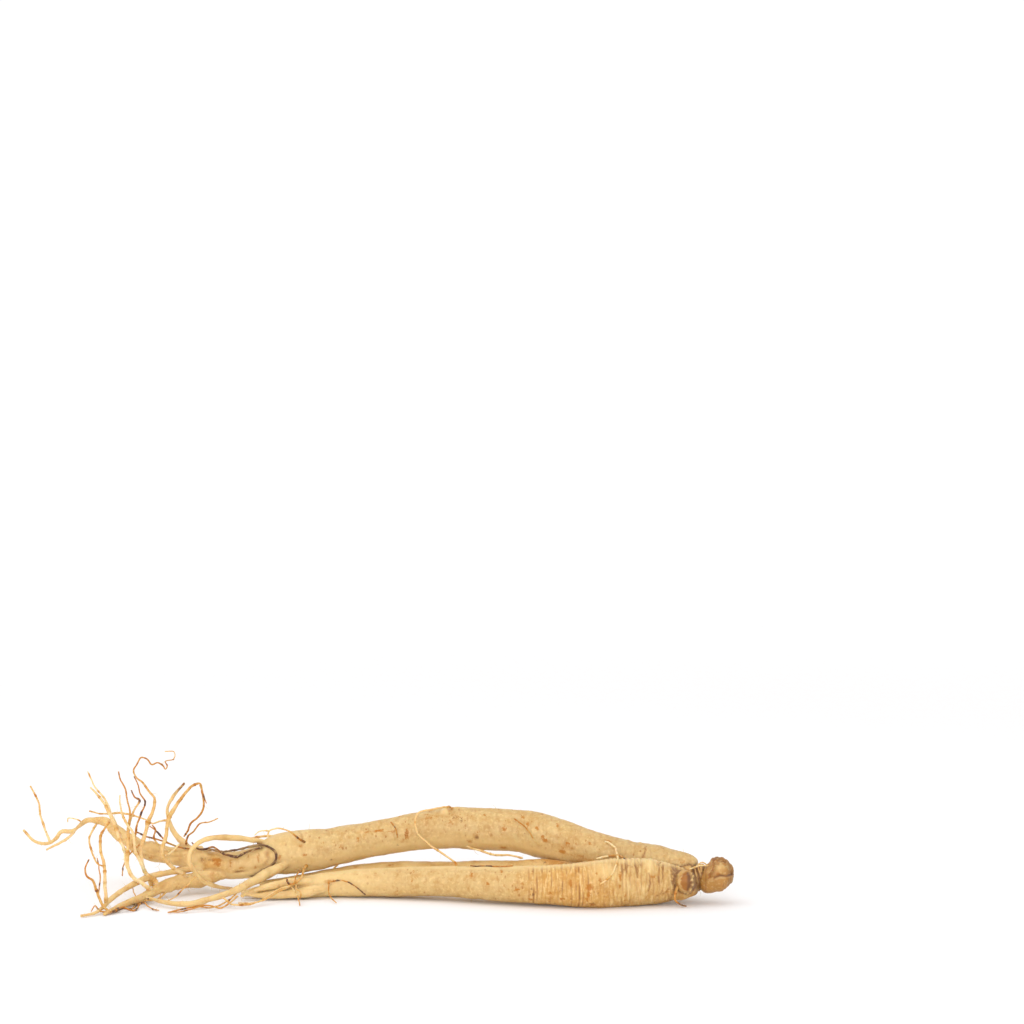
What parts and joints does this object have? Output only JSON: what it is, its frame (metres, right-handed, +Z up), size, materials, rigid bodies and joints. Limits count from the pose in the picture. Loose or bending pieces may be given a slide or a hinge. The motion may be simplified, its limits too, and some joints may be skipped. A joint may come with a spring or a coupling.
{
  "type": "ginseng root",
  "caption": "Fresh forked ginseng root lying flat, with a ringed crown and bud, stout legs, a tapering tail and curling rootlets.",
  "frame": {"origin": "on the table, under the middle of the root's box", "axes": "+X along the root towards its crown and bud, +Y towards the side where the tail lies, +Z up"},
  "size_m": [0.2062, 0.0711, 0.0401],
  "materials": {
    "root_skin": "matte"
  },
  "bodies": {
    "root": {"ginseng_root": "root_skin"}
  },
  "joints": []
}
